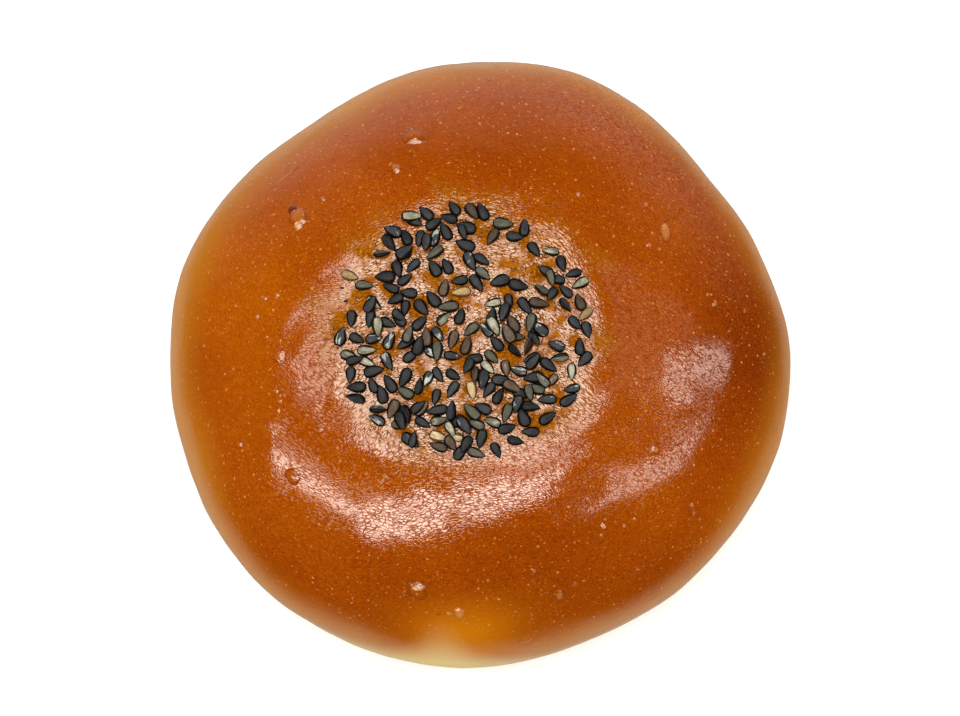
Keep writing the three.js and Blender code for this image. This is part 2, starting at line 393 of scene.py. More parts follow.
def crease_lines(tree, place, wrinkles):
    """Creases between the wrinkles, which come and go."""
    inputs = {"Vector": wrinkles, "Scale": 1.0}
    cells = add_node(tree, "ShaderNodeTexVoronoi", inputs, feature="DISTANCE_TO_EDGE").outputs
    crease = mapped(tree, cells["Distance"], CREASE_SHARE, 0.0, interpolation_type="SMOOTHSTEP")
    fade = noise(tree, place, CREASE_PATCHES, 1.0)["Fac"]
    return sum_of(tree, "MULTIPLY", crease, mapped(tree, fade, *CREASE_FADE))


def speckle(tree, place, spacing, radius):
    """Round spots strewn over a surface, each of its own strength."""
    cells = add_node(tree, "ShaderNodeTexVoronoi", {"Vector": place, "Scale": 1 / spacing}).outputs
    spot = mapped(tree, cells["Distance"], radius / spacing, SPOT_CORE * radius / spacing)
    own = add_node(tree, "ShaderNodeSeparateColor", {"Color": cells["Color"]}).outputs["Red"]
    return sum_of(tree, "MULTIPLY", spot, own)


BROWNING_COLOURS = [  # from golden to deep brown
    (0.35, (0.345, 0.128, 0.009)),
    (0.45, (0.302, 0.087, 0.0018)),
    (0.55, (0.262, 0.0585, 0.0007)),
    (0.65, (0.218, 0.0408, 0.0005)),
    (0.80, (0.166, 0.0268, 0.0005)),
    (1.00, (0.100, 0.0128, 0.0004)),
]
CROWN_COLOUR = (0.262, 0.083, 0.003, 1)
# the colour the creases in the crown are painted, as painted shade
CREASE_SHADE_COLOUR = (0.085, 0.026, 0.001, 1)
RIM_COLOUR = (0.31, 0.120, 0.010, 1)
YOLK_COLOUR = (0.355, 0.110, 0.0015, 1)
DOUGH_COLOUR = (0.31, 0.165, 0.068, 1)
CREAM_COLOUR = (0.46, 0.355, 0.155, 1)
BLISTER_COLOUR = (0.38, 0.165, 0.045, 1)
FLAKE_COLOUR = (0.62, 0.44, 0.27, 1)
CREASE_DEPTH = 0.008
GRAIN_DEPTH = 0.017  # of the wrinkles where they are strongest
STAMPED_GRAIN = 0.05  # what the stamp added to it
PIMPLES = (1.5, 0.27, 0.005)  # spacing, radius and height of the glaze's tiny pale pimples
SPECKS = (0.8, 0.16, 0.002)  # and of its still finer specks
DULLING = 1.3  # how dull the glaze is in creases and in hollows
HOLLOW_SPACING = 3.2  # of the hollows between the seeds
HOLLOW_FINENESS = (5.0, 0.62)  # detail and roughness of their noise
HOLLOW_DEPTHS = (0.55, 0.40)  # where in it a hollow begins and is deepest
AMONG_SEEDS = 0.6  # how stamped the crust is where they begin
CROWN_SHARE = 0.9  # how much of the crown's own colour shows
CREASE_SHADE = 0.26  # how much darker creases are painted, as painted shade, and how much the rest changes the browning
GRAIN_SHADE = 0.16
MOTTLE_SPACING = 2.381  # of the broad light and dark clouds in the crust
MOTTLE_FINENESS = (5.0, 0.65)
MOTTLE_SHADE = 0.14
SPECKLE_SPACING = 0.22  # of the finest light and dark in it
SPECKLE_SHADE = 0.36
FLAKE_ROUGHNESS = (0.3, 0.7, 0.55, 1.1)  # how unevenly a burst blister's pale top shows
FLAKE_FROM = 0.6  # how pale it is where it is a dry flake
CRUST_ROUGHNESS = 0.6
GLAZE_ROUGHNESS = 0.05
GLAZE_REFRACTION = 2.1  # more than a real glaze has, for a glare as strong as it gives


def browned(tree, stage):
    """The crust's colour at each stage of browning."""
    colours = add_node(tree, "ShaderNodeValToRGB", {"Fac": stage})
    ramp = colours.color_ramp
    while len(ramp.elements) < len(BROWNING_COLOURS):
        ramp.elements.new(0.5)
    for element, (position, colour) in zip(ramp.elements, BROWNING_COLOURS):
        element.position = position
        element.color = (*colour, 1)
    return colours.outputs["Color"]


def crust_material():
    """Browned crust under a thin, finely wrinkled egg glaze."""
    material, tree, surface = new_material("glazed_crust")
    place = scaled(tree, add_node(tree, "ShaderNodeTexCoord").outputs["Object"], 1 / MM)
    browning_and_shade, rim, yolk, pale, cream = read_paint(tree, "browning_and_shade", "rim", "yolk", "pale", "cream")
    glazed, wrinkled, stamped, blistered = read_paint(tree, "glazed", "wrinkled", "stamped", "blistered")

    wrinkles = along_wrinkles(tree, place)
    crease = sum_of(tree, "MULTIPLY", crease_lines(tree, place, wrinkles), wrinkled)
    raised = sum_of(tree, "MULTIPLY", crease, -CREASE_DEPTH)
    grain = noise(tree, wrinkles, 1.0, 1.0)["Fac"]
    depth = sum_of(tree, "MULTIPLY", wrinkled, wrinkled)
    depth = sum_of(tree, "MULTIPLY", depth, GRAIN_DEPTH)
    depth = sum_of(tree, "MULTIPLY_ADD", stamped, STAMPED_GRAIN, depth)
    raised = sum_of(tree, "MULTIPLY_ADD", grain, depth, raised)
    fine = noise(tree, place, SPECKLE_SPACING, 1.0)["Fac"]
    lifted = sum_of(tree, "MULTIPLY", blistered, mapped(tree, fine, *FLAKE_ROUGHNESS))
    dry = mapped(tree, lifted, FLAKE_FROM, 1.0)
    for spacing, radius, rise in (PIMPLES, SPECKS):
        spots = speckle(tree, place, spacing, radius)
        raised = sum_of(tree, "MULTIPLY_ADD", spots, rise, raised)
        lifted = sum_of(tree, "MAXIMUM", spots, lifted)
    raised = sum_of(tree, "MULTIPLY", raised, glazed)
    bump = add_node(tree, "ShaderNodeBump", {"Height": raised, "Distance": MM}).outputs[0]

    hollow = mapped(tree, noise(tree, place, HOLLOW_SPACING, *HOLLOW_FINENESS)["Fac"], *HOLLOW_DEPTHS)
    hollow = sum_of(tree, "MULTIPLY", hollow, mapped(tree, stamped, AMONG_SEEDS, 1.0))
    dull = sum_of(tree, "MAXIMUM", crease, hollow)
    bright = sum_of(tree, "MULTIPLY_ADD", dull, -DULLING, 1.0, use_clamp=True)
    glossy = sum_of(tree, "MULTIPLY", glazed, bright)

    mottle = noise(tree, place, MOTTLE_SPACING, *MOTTLE_FINENESS)["Fac"]
    # creases are painted browner and darker: painted shade
    stage = sum_of(tree, "MULTIPLY_ADD", crease, CREASE_SHADE, browning_and_shade)
    for change, amount in ((mottle, MOTTLE_SHADE), (fine, SPECKLE_SHADE), (grain, GRAIN_SHADE)):
        about = sum_of(tree, "SUBTRACT", change, 0.5)
        stage = sum_of(tree, "MULTIPLY_ADD", about, amount, stage)
    skin = browned(tree, stage)
    for share, colour in (
        # in the crown the creases take a darker colour: painted shade
        (sum_of(tree, "MULTIPLY", stamped, CROWN_SHARE), mixed(tree, crease, CROWN_COLOUR, CREASE_SHADE_COLOUR)),
        (rim, RIM_COLOUR),
        (yolk, YOLK_COLOUR),
        (pale, mixed(tree, cream, DOUGH_COLOUR, CREAM_COLOUR)),
        (lifted, BLISTER_COLOUR),
        (dry, FLAKE_COLOUR),
    ):
        skin = mixed(tree, share, skin, colour)
    tree.links.new(skin, surface.inputs["Base Color"])
    tree.links.new(bump, surface.inputs["Normal"])
    tree.links.new(bump, surface.inputs["Coat Normal"])
    tree.links.new(glossy, surface.inputs["Coat Weight"])
    surface.inputs["Roughness"].default_value = CRUST_ROUGHNESS
    surface.inputs["Specular IOR Level"].default_value = 0.0
    surface.inputs["Coat Roughness"].default_value = GLAZE_ROUGHNESS
    surface.inputs["Coat IOR"].default_value = GLAZE_REFRACTION
    return material


BREAD_DRAW = 7
bread_draw = np.random.default_rng(BREAD_DRAW)
bread, bread_points = make_bread(bread_draw)
paint_crust(bread.data, bread_points, bread_draw)
bread.data.materials.append(crust_material())
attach(bread, "root")
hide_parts("bun")

# The blisters: bubbles that steam raised in the glaze as it browned, some whole and some burst.
# Each is a low lens of the same crust, half sunk in it, paler on top, with painted shade round its foot.
# Burst ones left a pale flake of dry glaze, or a pit: a lens painted darker, as painted shade, not a hollow.
BLISTERS = [  # place, half width, half length, heading in degrees, rise, and paleness, below 0 for a pit painted darker as painted shade
    (-10.1, 30.6, 1.45, 1.45, 90, 0.45, 0.05),
    (-9.9, 29.9, 0.40, 0.34, 90, 0.46, 0.90),
    (-28.0, 17.8, 1.25, 1.45, 90, 0.45, 0.25),
    (-28.9, 19.2, 0.80, 0.70, 80, 0.30, -0.7),
    (-28.0, 16.4, 0.75, 0.80, 60, 0.36, 0.85),
    (28.7, 15.5, 0.95, 1.65, 80, 0.18, 0.50),
    (28.6, 16.2, 0.60, 0.80, 80, 0.22, 0.66),
    (-9.4, -39.7, 1.28, 1.30, 90, 0.45, 0.05),
    (-9.4, -39.2, 1.10, 0.62, 90, 0.48, 0.84),
    (-3.0, -42.8, 0.76, 0.90, 90, 0.40, 0.55),
    (-4.6, -42.9, 0.52, 0.32, 90, 0.16, 0.40),
    (-6.2, -42.8, 0.34, 0.42, 90, 0.08, -0.8),
    (-12.9, 25.1, 0.72, 0.80, 90, 0.30, 0.35),
    (-28.3, -22.6, 1.15, 1.07, 90, 0.35, 0.05),
    (-30.5, -4.5, 0.90, 0.92, 90, 0.30, 0.15),
    (26.7, -18.8, 0.64, 0.70, 90, 0.25, 0.20),
    (18.8, -30.2, 0.50, 0.42, 60, 0.26, 0.80),
    (22.0, -30.0, 0.27, 0.31, 90, 0.14, 0.60),
    (18.5, -31.5, 0.25, 0.27, 90, 0.14, 0.50),
    (12.2, -40.0, 0.54, 0.84, 100, 0.26, 0.48),
    (7.1, -46.1, 1.00, 0.90, 90, 0.20, 0.10),
    (8.8, -46.4, 0.34, 1.10, 5, 0.14, 0.45),
    (32.5, -26.3, 0.44, 0.42, 90, 0.20, 0.60),
    (32.9, -27.4, 0.36, 0.50, 120, 0.16, 0.50),
    (-30.5, 25.3, 0.24, 2.40, 38, 0.08, 0.40),
    (-36.9, -17.1, 0.72, 0.62, 90, 0.16, 0.10),
    (36.3, 4.5, 0.42, 0.64, 90, 0.20, 0.50),
    (35.2, 5.8, 0.28, 0.33, 90, 0.14, 0.50),
]
SMALL_BLISTERS = 60
SMALL_REACH = 0.93  # how near the outline they come, as a share of its radius
SMALL_RADIUS = (0.2, 0.42)
SMALL_SLOPE = 0.4  # rise as a share of the radius
SMALL_PALENESS = (0.2, 0.65)
LENS_RINGS = 12
LENS_SIDES = 20
LENS_DEPTH = 0.5  # below the crust, as a share of the rise
LENS_FULLNESS = 1.05  # 0.5 is a round top with a sharp foot, and more is a bell with a soft foot
LENS_WOBBLE = 0.07
LENS_TURN = 6.0  # the most that each wobble is turned, in radians
LENS_SPREAD = 1.25  # how much wider than the part that stands out it is, down to its soft foot
LENS_SINK = 0.02

bread_faces = [tuple(face.vertices) for face in bread.data.polygons]
crust_places = np.empty(3 * len(bread.data.vertices))
bread.data.vertices.foreach_get("co", crust_places)
crust = BVHTree.FromPolygons((crust_places.reshape(-1, 3) / MM).tolist(), bread_faces)


def crust_at(x, y):
    """Place and outward normal of the crust over a point, and a point of the bread's mesh beside it."""
    place, normal, face, _ = crust.ray_cast(Vector((x, y, 2 * BUN_HEIGHT)), Vector((0, 0, -1)))
    return np.array(place), np.array(normal), bread_faces[face][0]


def axes_on_crust(up, heading):
    """Axes across a thing that lies on the crust, along its heading, and up."""
    along = np.array([math.cos(heading), math.sin(heading), 0])
    along -= along.dot(up) * up
    along /= np.linalg.norm(along)
    return np.stack([np.cross(along, up), along, up])


def ball_faces(rings, sides):
    """Faces of a ball made of rings of points, first ring first, with its two poles as the last points."""
    grid = np.arange(rings * sides).reshape(rings, sides)
    beside = np.roll(grid, -1, 1)
    quads = np.stack([grid[:-1], grid[1:], beside[1:], beside[:-1]], -1).reshape(-1, 4)
    first = np.stack([np.full(sides, grid.size), grid[0], beside[0]], -1)
    last = np.stack([np.full(sides, grid.size + 1), beside[-1], grid[-1]], -1)
    return [*quads.tolist(), *first.tolist(), *last.tolist()]


def lens_form(half_width, half_length, rise, draw):
    """A blister's points about its middle, and how far from its top each is."""
    turn = np.linspace(0, math.pi, LENS_RINGS + 2)[1:-1, None]
    around = -np.linspace(0, 2 * math.pi, LENS_SIDES, endpoint=False)
    wobble = np.sin(2 * around + draw.uniform(0, LENS_TURN))
    wobble += np.sin(3 * around + draw.uniform(0, LENS_TURN))
    out = np.sin(turn)
    reach = LENS_SPREAD * out * (1 + LENS_WOBBLE * wobble)
    above = turn > math.pi / 2
    bell = np.where(above, rise, -LENS_DEPTH * rise) * (1 - out**2) ** LENS_FULLNESS
    x = half_width * reach * np.cos(around)
    y = half_length * reach * np.sin(around)
    z = np.repeat(bell, LENS_SIDES, 1)
    poles = [[0, 0, -LENS_DEPTH * rise], [0, 0, rise]]
    points = np.concatenate([np.stack([x, y, z], -1).reshape(-1, 3), poles])
    from_top = np.where(above, out, 1)
    return points, np.concatenate([np.repeat(from_top, LENS_SIDES, 1).ravel(), [1, 0]])


def all_blisters(draw):
    """The large blisters, then small ones strewn over the dome outside the seeds."""
    blisters = list(BLISTERS)
    while len(blisters) < len(BLISTERS) + SMALL_BLISTERS:
        reach = SMALL_REACH * BUN_RADIUS * math.sqrt(draw.random())
        angle = 2 * math.pi * draw.random()
        radius = draw.uniform(*SMALL_RADIUS)
        place = reach * math.cos(angle), reach * math.sin(angle)
        if math.dist(place, PATCH_MIDDLE) > PRESS_RADIUS:
            blisters.append((*place, radius, radius, 0, SMALL_SLOPE * radius, draw.uniform(*SMALL_PALENESS)))
    return blisters


SKIN_PAINTS = ("browning_and_shade", "rim", "yolk", "pale", "cream", "glazed", "wrinkled", "stamped")
CAP_EDGE = (0.4, 0.9)  # between these shares of the way from a blister's top its cap ends
FOOT_INSIDE = (0.5, 0.8)  # and its foot's painted shade begins
FOOT_OUTSIDE = (1.0, 0.85)  # and ends
FOOT_SHADE = 0.12  # how much darker the foot is painted, as painted shade
DRY_TOP = 0.6  # how much of the glaze a pale top has lost
BLISTER_DRAW = 5


def make_blisters():
    """Every blister, joined into one mesh, with its crust painted after the bread's beside it."""
    draw = np.random.default_rng(BLISTER_DRAW)
    beside = {name: bread.data.attributes[name].data for name in SKIN_PAINTS}
    points, faces = [], []
    painted = {name: [] for name in (*SKIN_PAINTS, "blistered")}
    for x, y, half_width, half_length, heading, rise, paleness in all_blisters(draw):
        place, up, near = crust_at(x, y)
        form, from_top = lens_form(half_width, half_length, rise, draw)
        start = sum(len(p) for p in points)
        points.append(form @ axes_on_crust(up, math.radians(heading)) + place - LENS_SINK * up)
        faces += [[start + i for i in face] for face in ball_faces(LENS_RINGS, LENS_SIDES)]
        cap = 1 - smooth_step(*CAP_EDGE, from_top)
        foot = smooth_step(*FOOT_INSIDE, from_top) * smooth_step(*FOOT_OUTSIDE, from_top)
        pit_shade = max(0, -paleness)
        top = max(0, paleness)
        skin = {name: np.full(len(form), beside[name][near].value) for name in SKIN_PAINTS}
        # a pit and the blister's foot are painted browner: painted shade
        skin["browning_and_shade"] += pit_shade * cap + FOOT_SHADE * foot
        skin["glazed"] *= 1 - DRY_TOP * top * cap
        skin["blistered"] = top * cap
        for name, values in skin.items():
            painted[name].append(values)
    made = mesh_object("blisters", np.concatenate(points), faces)
    for name, values in painted.items():
        paint(made.data, name, np.concatenate(values))
    return made


blisters = make_blisters()
blisters.data.materials.append(bread.data.materials[0])
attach(blisters, "root")
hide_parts("bun")

# The sesame seeds: mostly black, some worn grey, some brown and a few tan, stuck to the wet glaze.
# They were stamped on with a round end, so they lie flat in a round patch, crowded and piled at the front.
# Each is a flat drop, blunt at one end and pointed at the other, with a thin edge painted darker, as painted
# shade.
PATCH_RADIUS = 19.4
SEED_LENGTH = 2.95
SEED_WIDTH = 1.75
SEED_THICKNESS = 0.95
SEED_SIZE_SPREAD = 0.13
SEED_SINK = 0.3
SEED_TILT = math.radians(7)
EDGE_SHARE = 0.12  # share of seeds that lie on an edge
EDGE_TILT = math.radians(62)
FIRST_DRAW = 785
DRAW_FACTOR = 1664525
DRAW_STEP = 1013904223
DRAW_RANGE = 2**32
THROWS = 9000
SEED_LAYERS = [  # count, lift, tilt, crowding, and share of thrown seeds that stay between the clumps
    (168, 0.0, 1.0, 0.84, 0.32),
    (30, 0.5, 2.4, 0.95, 0.0),
]
SUPPORT = 0.8  # how much an upper seed has to lie over a lower one
CLUMPS = [  # places where the stamp held most seeds, and how far each reaches
    (-3.0, -14.0, 6.5),
    (-10.0, 2.0, 4.5),
    (8.0, -9.0, 5.0),
    (-7.0, 15.5, 4.5),
    (16.0, 7.0, 3.5),
    (6.0, 0.5, 3.0),
    (-6.0, -2.0, 3.0),
]
BARE_SPOTS = [  # and places that it left bare
    (7.4, 10.2, 3.4),
    (2.0, 3.2, 2.1),
    (14.2, 1.2, 2.5),
    (-1.0, 11.2, 2.0),
    (-17.0, 5.2, 2.4),
    (-6.0, 8.0, 1.8),
    (3.4, -2.6, 1.6),
    (-6.5, -6.2, 1.8),
    (-16.0, 12.0, 3.2),
    (11.5, 14.5, 2.2),
]
SEED_CIRCLES = [(-0.17, 0.5), (0.12, 0.42), (0.36, 0.22)]  # along and radius, shares of length and width


def even_draws(start):
    """Even draws from 0 to 1, the same ones each time."""
    state = start
    while True:
        state = (state * DRAW_FACTOR + DRAW_STEP) % DRAW_RANGE
        yield state / DRAW_RANGE


def held_seeds(x, y):
    """How much of the clumps' seeds the stamp held at a place."""
    return sum(math.exp(-((x - a) ** 2 + (y - b) ** 2) / reach**2) for a, b, reach in CLUMPS)


def seeds_meet(a, b, share):
    """True where two seeds' circles come closer than the given share of their reach."""
    return any(math.hypot(p[0] - q[0], p[1] - q[1]) < share * (p[2] + q[2]) for p in a for q in b)


def scatter_seeds():
    """Seeds thrown at the patch one by one. A seed stays where the stamp holds seeds and there is room."""
    draws = even_draws(FIRST_DRAW)
    seeds = []
    for count, lift, tilt, crowding, between in SEED_LAYERS:
        below = list(seeds)
        lying = []
        for _ in range(THROWS):
            if len(lying) == count:
                break
            reach = PATCH_RADIUS * math.sqrt(next(draws))
            bearing = 2 * math.pi * next(draws)
            luck = next(draws)
            x, y = reach * math.cos(bearing), reach * math.sin(bearing)
            heading = 2 * math.pi * next(draws)
            size = 1 + SEED_SIZE_SPREAD * (2 * next(draws) - 1)
            pitch = SEED_TILT * tilt * (2 * next(draws) - 1)
            on_edge = next(draws) < EDGE_SHARE
            roll = (EDGE_TILT if on_edge else SEED_TILT * tilt) * (2 * next(draws) - 1)
            if luck > between + held_seeds(x, y):
                continue
            if any(math.hypot(x - a, y - b) < radius for a, b, radius in BARE_SPOTS):
                continue
            circles = [
                (
                    x + along * SEED_LENGTH * size * math.cos(heading),
                    y + along * SEED_LENGTH * size * math.sin(heading),
                    radius * SEED_WIDTH * size,
                )
                for along, radius in SEED_CIRCLES
            ]
            if any(seeds_meet(circles, other["circles"], crowding) for other in lying):
                continue
            if below and not any(seeds_meet(circles, other["circles"], SUPPORT) for other in below):
                continue
            seed = dict(x=x, y=y, heading=heading, size=size, pitch=pitch, roll=roll, lift=lift)
            seed["circles"] = circles
            lying.append(seed)
        seeds += lying
    return seeds


SEED_RINGS = 15
SEED_SIDES = 24
BLUNT_POWER = 0.45
TIP_POWER = 0.82
EDGE_SQUARENESS = 2.4
SEED_WIDTHS = (0.9, 1.08)  # narrowest and widest, as shares of the usual width
SEED_FLATNESS = 0.8  # how fast a seed grows thinner towards its ends, to how fast it grows narrower
SEED_BEND = 0.12  # the most that its ends bend aside
END_POWER = 3  # how near its ends the edge's painted shade stays


def seed_form(draw):
    """One seed's points about its middle, pointed along +Y, flat along Z, and how near its edge each is."""
    turn = np.linspace(0, math.pi, SEED_RINGS + 2)[1:-1]
    along = -np.cos(turn)
    widest = (BLUNT_POWER - TIP_POWER) / (BLUNT_POWER + TIP_POWER)
    drop = (1 + along) ** BLUNT_POWER * (1 - along) ** TIP_POWER
    drop /= (1 + widest) ** BLUNT_POWER * (1 - widest) ** TIP_POWER
    around = np.linspace(0, 2 * math.pi, SEED_SIDES, endpoint=False)
    cosine, sine = np.cos(around), np.sin(around)
    across = np.sign(cosine) * np.abs(cosine) ** (2 / EDGE_SQUARENESS)
    up = np.sign(sine) * np.abs(sine) ** (2 / EDGE_SQUARENESS)
    width = SEED_WIDTH * draw.uniform(*SEED_WIDTHS)
    x = 0.5 * width * drop[:, None] * across
    y = 0.5 * SEED_LENGTH * np.repeat(along[:, None], SEED_SIDES, 1)
    z = 0.5 * SEED_THICKNESS * drop[:, None] ** SEED_FLATNESS * up
    bend = draw.uniform(-SEED_BEND, SEED_BEND)
    points = np.stack([x, y, z], -1).reshape(-1, 3)
    points = np.concatenate([points, [[0, -0.5 * SEED_LENGTH, 0], [0, 0.5 * SEED_LENGTH, 0]]])
    points[:, 0] += bend * points[:, 1] ** 2 / SEED_LENGTH
    near_edge = np.maximum(np.abs(across)[None], np.abs(along)[:, None] ** END_POWER)
    return points, np.concatenate([near_edge.ravel(), [1, 1]])


def seed_on_crust(points, seed):
    """A seed's points moved to where it lies on the crust."""
    pitch, roll = seed["pitch"], seed["roll"]
    pitched = np.array(
        [[1, 0, 0], [0, math.cos(pitch), -math.sin(pitch)], [0, math.sin(pitch), math.cos(pitch)]]
    )
    rolled = np.array([[math.cos(roll), 0, math.sin(roll)], [0, 1, 0], [-math.sin(roll), 0, math.cos(roll)]])
    place, up, _ = crust_at(*(PATCH_MIDDLE + [seed["x"], seed["y"]]))
    half = 0.5 * math.hypot(SEED_WIDTH * math.sin(roll), SEED_THICKNESS * math.cos(roll))
    middle = place + up * (seed["size"] * (half - SEED_SINK * SEED_THICKNESS) + seed["lift"])
    return points * seed["size"] @ pitched.T @ rolled.T @ axes_on_crust(up, seed["heading"]) + middle


STREAK_STRETCH = 0.45  # a streak's width as a share of its length
SEEDS_APART = 1000.0  # how far apart their streaks are taken, so that no two seeds are alike
SEED_GRAIN = 0.3
SEED_BLOTCH = 0.75
BLOTCH_DISTORTION = 0.6
SEED_FINENESS = 2.0
FULL_WEAR = 1.6  # the sum of blotch and tone that only the pale patches reach
SEED_EDGE_SHADE = (0.54, 0.69)  # how near the edge its line of painted shade begins and is full
SEED_SHADES = (0.6, 1.45)  # of the darkest and the lightest seeds' faces
SEED_MOTTLE = (0.3, 0.7, 0.7, 1.35)  # the grain between which the skin goes from dark to light
SEED_ROUGHNESS = (0.42, 0.3)  # of the face and of its worn or glazed patches


def seed_coat_group():
    """Seed skin: a face colour that varies by seed, an edge painted darker as painted shade, and pale
    patches of worn skin, on the black seeds partly a painted highlight of glaze streaks.
    """
    group = bpy.data.node_groups.new("seed_coat", "ShaderNodeTree")
    for name, kind in [
        ("Face", "NodeSocketColor"),
        ("Shaded Edge", "NodeSocketColor"),
        ("Wear And Glint", "NodeSocketColor"),
        ("Patch Cover", "NodeSocketFloat"),
        ("Patch Softness", "NodeSocketFloat"),
    ]:
        group.interface.new_socket(name, in_out="INPUT", socket_type=kind)
    group.interface.new_socket("Colour", in_out="OUTPUT", socket_type="NodeSocketColor")
    for name in ("Roughness", "Height", "Glaze"):
        group.interface.new_socket(name, in_out="OUTPUT", socket_type="NodeSocketFloat")
    given = group.nodes.new("NodeGroupInput").outputs
    tone, near_edge, across, along = read_paint(group, "tone", "near_edge", "across", "along")
    drawn = sum_of(group, "MULTIPLY", along, STREAK_STRETCH)
    apart = sum_of(group, "MULTIPLY", tone, SEEDS_APART)
    place = add_node(group, "ShaderNodeCombineXYZ", {0: across, 1: drawn, 2: apart}).outputs[0]
    grain = noise(group, place, SEED_GRAIN, SEED_FINENESS)["Fac"]
    blotch = noise(group, place, SEED_BLOTCH, SEED_FINENESS, distortion=BLOTCH_DISTORTION)["Fac"]

    worn = sum_of(group, "ADD", blotch, tone)
    start = sum_of(group, "SUBTRACT", FULL_WEAR, given["Patch Cover"])
    end = sum_of(group, "ADD", start, given["Patch Softness"])
    # the edge is painted darker: painted shade where the seed's rim turns away from the light
    shaded_edge = mapped(group, near_edge, *SEED_EDGE_SHADE)
    inside = sum_of(group, "SUBTRACT", 1.0, shaded_edge)
    worn_and_glinting = sum_of(group, "MULTIPLY", mapped(group, worn, start, end), inside)
    face = scaled(group, given["Face"], mapped(group, tone, 0.0, 1.0, *SEED_SHADES))
    # the pale patch is worn skin, and on the black seeds partly a painted highlight of glaze streaks
    top = mixed(group, worn_and_glinting, face, given["Wear And Glint"])
    top = scaled(group, top, mapped(group, grain, *SEED_MOTTLE))
    out = group.nodes.new("NodeGroupOutput").inputs
    group.links.new(mixed(group, shaded_edge, top, given["Shaded Edge"]), out["Colour"])
    group.links.new(mapped(group, worn_and_glinting, 0.0, 1.0, *SEED_ROUGHNESS), out["Roughness"])
    group.links.new(grain, out["Height"])
    group.links.new(worn_and_glinting, out["Glaze"])
    return group


SEED_KINDS = {  # share of all seeds, colours of face, of the edge's painted shade and of the worn patch, a painted highlight on the black seeds, how much is worn, and how softly
    "black": (0.65, (0.0155, 0.0180, 0.0225), (0.0008, 0.0007, 0.0006), (0.24, 0.26, 0.24), 0.13, 0.10),
    "grey": (0.17, (0.066, 0.067, 0.050), (0.003, 0.003, 0.002), (0.19, 0.185, 0.13), 0.55, 0.35),
    "brown": (0.13, (0.060, 0.040, 0.027), (0.005, 0.003, 0.002), (0.15, 0.105, 0.065), 0.40, 0.30),
    "tan": (0.05, (0.26, 0.17, 0.075), (0.07, 0.035, 0.015), (0.40, 0.32, 0.19), 0.60, 0.35),
}
SEED_GRAIN_DEPTH = 0.012
SEED_SHEEN = 0.16  # how strongly the bare skin mirrors
SEED_GLAZE_ROUGHNESS = 0.2


def seed_material(kind, coat):
    """Dry seed skin of one kind."""
    _, face, shaded_edge, wear_and_glint, cover, softness = SEED_KINDS[kind]
    material, tree, surface = new_material(f"sesame_{kind}")
    skin = add_node(tree, "ShaderNodeGroup", node_tree=coat)
    for name, colour in (("Face", face), ("Shaded Edge", shaded_edge), ("Wear And Glint", wear_and_glint)):
        skin.inputs[name].default_value = (*colour, 1)
    skin.inputs["Patch Cover"].default_value = cover
    skin.inputs["Patch Softness"].default_value = softness
    grain = {"Height": skin.outputs["Height"], "Distance": SEED_GRAIN_DEPTH * MM}
    bump = add_node(tree, "ShaderNodeBump", grain).outputs[0]
    tree.links.new(skin.outputs["Colour"], surface.inputs["Base Color"])
    tree.links.new(skin.outputs["Roughness"], surface.inputs["Roughness"])
    tree.links.new(skin.outputs["Glaze"], surface.inputs["Coat Weight"])
    tree.links.new(bump, surface.inputs["Normal"])
    surface.inputs["Specular IOR Level"].default_value = SEED_SHEEN
    surface.inputs["Coat Roughness"].default_value = SEED_GLAZE_ROUGHNESS
    return material


CRUMBS = [(-18.45, 6.66), (-17.85, 4.56)]  # broken bits of black seed, from the patch's middle
CRUMB_SIZE = 0.24
SEED_DRAW = 11


def make_seeds():
    """Every seed, joined into one mesh for each kind."""
    draw = np.random.default_rng(SEED_DRAW)
    coat = seed_coat_group()
    seeds = scatter_seeds()
    kinds = draw.choice(list(SEED_KINDS), len(seeds), p=[kind[0] for kind in SEED_KINDS.values()])
    for x, y in CRUMBS:
        seeds.append(dict(x=x, y=y, heading=0, size=CRUMB_SIZE, pitch=0, roll=0, lift=0))
    kinds = [*kinds, *["black"] * len(CRUMBS)]
    for kind in SEED_KINDS:
        points, faces = [], []
        painted = {"near_edge": [], "across": [], "along": [], "tone": []}
        for seed in (s for s, k in zip(seeds, kinds) if k == kind):
            start = sum(len(p) for p in points)
            form, near_edge = seed_form(draw)
            points.append(seed_on_crust(form, seed))
            faces += [[start + i for i in face] for face in ball_faces(SEED_RINGS, SEED_SIDES)]
            painted["near_edge"].append(near_edge)
            painted["across"].append(form[:, 0])
            painted["along"].append(form[:, 1])
            painted["tone"].append(np.full(len(form), draw.random()))
        made = mesh_object(f"sesame_{kind}", np.concatenate(points), faces)
        for name, values in painted.items():
            paint(made.data, name, np.concatenate(values))
        made.data.materials.append(seed_material(kind, coat))
        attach(made, "root")
        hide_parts("bun")


make_seeds()

# The floor: a plain pale sheet that the bun stands on.
# It is smooth and dull, like thick paper, and it isn't part of the bun.
FLOOR_SIZE = 3.0  # in metres
FLOOR_COLOUR = (0.83, 0.88, 0.96, 1)
FLOOR_ROUGHNESS = 0.8
bpy.ops.mesh.primitive_plane_add(size=FLOOR_SIZE)
floor = bpy.context.object
floor.name = "floor"
paper, _, paper_surface = new_material("pale_paper")
paper_surface.inputs["Base Color"].default_value = FLOOR_COLOUR
paper_surface.inputs["Roughness"].default_value = FLOOR_ROUGHNESS
floor.data.materials.append(paper)
floor.visible_glossy = False

